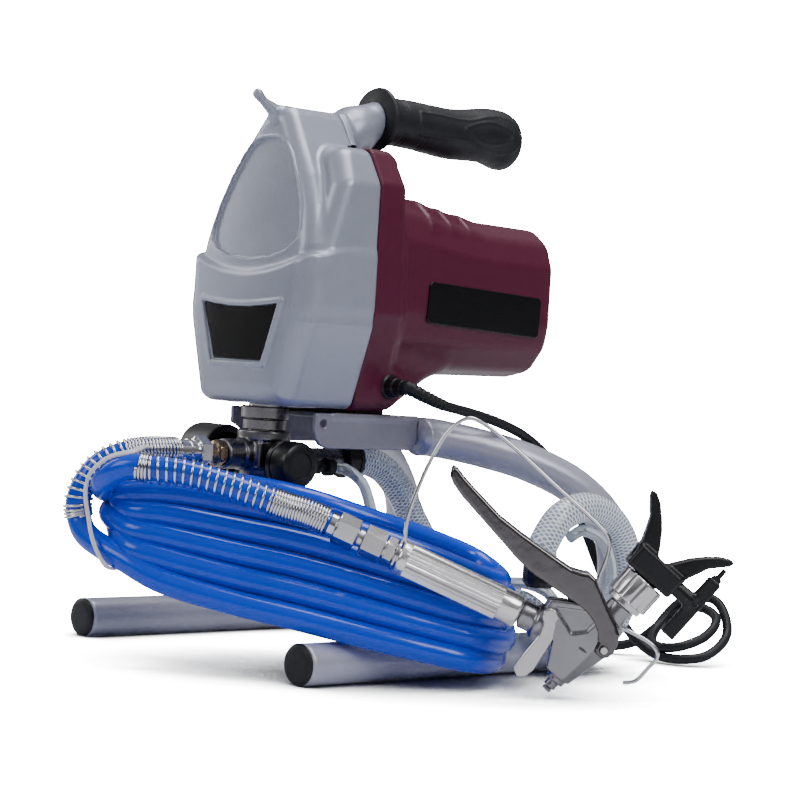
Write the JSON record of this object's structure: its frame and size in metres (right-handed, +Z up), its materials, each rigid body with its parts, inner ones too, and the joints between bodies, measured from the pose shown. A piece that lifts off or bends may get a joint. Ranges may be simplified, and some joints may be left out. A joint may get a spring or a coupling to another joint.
{
  "type": "airless paint sprayer",
  "caption": "Piston pump paint sprayer with motor, cover and carrying handle on a two-leg tube stand, with bundled hose, spray gun, suction hose and mains lead.",
  "frame": {"origin": "under the middle of the machine and gun, on the floor, hoses and lead left out", "axes": "+Z up, -Y towards the nameplate and the stand's caps, +X the side of the prime knob and the gun"},
  "size_m": [0.4416, 0.5006, 0.4135],
  "materials": {
    "grey_paint": "satin",
    "stand_paint": "semi-gloss",
    "burgundy_paint": "satin",
    "black_plate": "gloss",
    "black_plastic": "satin",
    "black_rubber": "matt",
    "machined_steel": "machined",
    "polished_steel": "polished",
    "cast_alloy": "satin",
    "brass": "satin",
    "copper_winding": "varnished",
    "circuit_board": "satin",
    "blue_hose": "gloss",
    "clear_hose": "translucent"
  },
  "bodies": {
    "machine": {"front_cover": "grey_paint", "handle_casting": "grey_paint", "stand_tube_right": "stand_paint", "stand_tube_left": "stand_paint", "stand_bracket": "stand_paint", "motor_shroud": "burgundy_paint", "nameplate": "black_plate", "rating_label": "black_plate", "power_switch": "black_plastic", "prime_valve": "black_plastic", "strainer": "black_plastic", "leg_cap_right": "black_rubber", "leg_cap_left": "black_rubber", "bracket_pad": "black_rubber", "handle_grip": "black_rubber", "cord_gland": "black_rubber", "suction_clamp": "black_rubber", "return_clip": "black_rubber", "mains_cord": "black_rubber", "mains_coil": "black_rubber", "mains_plug": "black_rubber", "motor_stator": "machined_steel", "front_bearing": "machined_steel", "rear_bearing": "machined_steel", "pump_manifold": "machined_steel", "pump_cylinder": "machined_steel", "pump_collar": "machined_steel", "lock_ring": "machined_steel", "inlet_valve": "machined_steel", "pressure_sensor": "machined_steel", "gun_inlet": "machined_steel", "trigger_pin": "machined_steel", "trigger_guard": "polished_steel", "hose_swivel_pump": "polished_steel", "hose_swivel_gun": "polished_steel", "drive_housing": "cast_alloy", "gun_handle": "cast_alloy", "gun_body": "cast_alloy", "outlet_fitting": "brass", "control_board": "circuit_board", "hose_coil": "blue_hose", "hose_guard_gun": "blue_hose", "hose_guard_pump": "blue_hose", "suction_hose": "clear_hose", "return_tube": "clear_hose"},
    "rotor": {"motor_rotor": "copper_winding", "motor_fan": "black_plastic"},
    "crank": {"drive_gear": "machined_steel"},
    "piston": {"piston_yoke": "machined_steel"},
    "trigger": {"gun_trigger": "polished_steel"},
    "lock": {"trigger_lock": "machined_steel"},
    "nut": {"retaining_nut": "machined_steel"},
    "guard": {"tip_guard": "black_plastic"},
    "tip": {"spray_tip": "black_plastic"},
    "pressure_dial": {"pressure_knob": "black_plastic"},
    "prime_dial": {"prime_knob": "black_plastic"},
    "rocker": {"power_rocker": "black_plastic"}
  },
  "joints": [
    {"name": "motor_spin", "type": "hinge", "parent": "machine", "child": "rotor", "pos_m": [-0.0835, 0.0184, 0.265], "axis": [0, 1, 0], "continuous": true},
    {"name": "crank_spin", "type": "hinge", "parent": "machine", "child": "crank", "pos_m": [-0.0835, -0.0736, 0.2265], "axis": [0, 1, 0], "continuous": true},
    {"name": "piston_stroke", "type": "slide", "parent": "machine", "child": "piston", "axis": [0, 0, 1], "range_m": [-0.006, 0.006]},
    {"name": "trigger_pull", "type": "hinge", "parent": "machine", "child": "trigger", "pos_m": [0.15966, -0.00007, 0.0347], "axis": [0.7369, -0.676, 0], "range_deg": [0, 11], "stiffness_Nm_per_rad": 3, "springref_deg": -8.59},
    {"name": "lock_flip", "type": "hinge", "parent": "machine", "child": "lock", "pos_m": [0.1461, -0.03704, 0.055], "axis": [0.7369, -0.676, 0], "range_deg": [-35, 0]},
    {"name": "nut_turn", "type": "hinge", "parent": "machine", "child": "nut", "pos_m": [0.17696, 0.01879, 0.0815], "axis": [0.4208, 0.4587, 0.7826], "continuous": true},
    {"name": "guard_turn", "type": "hinge", "parent": "machine", "child": "guard", "pos_m": [0.17696, 0.01879, 0.0815], "axis": [0.4208, 0.4587, 0.7826], "range_deg": [-90, 90]},
    {"name": "tip_reverse", "type": "hinge", "parent": "guard", "child": "tip", "pos_m": [0.18096, 0.02315, 0.08893], "axis": [-0.529, -0.5767, 0.6225], "range_deg": [0, 180]},
    {"name": "pressure_turn", "type": "hinge", "parent": "machine", "child": "pressure_dial", "pos_m": [-0.1415, -0.0996, 0.141], "axis": [-1, 0, 0], "range_deg": [0, 270]},
    {"name": "prime_turn", "type": "hinge", "parent": "machine", "child": "prime_dial", "pos_m": [-0.0515, -0.0996, 0.138], "axis": [1, 0, 0], "range_deg": [0, 90]},
    {"name": "rocker_tip", "type": "hinge", "parent": "machine", "child": "rocker", "pos_m": [-0.131, -0.0436, 0.194], "axis": [0, 0, 1], "range_deg": [0, 10]}
  ],
  "couplings": [
    {"joint": "crank_spin", "follows": "motor_spin", "ratio": -0.28571}
  ]
}
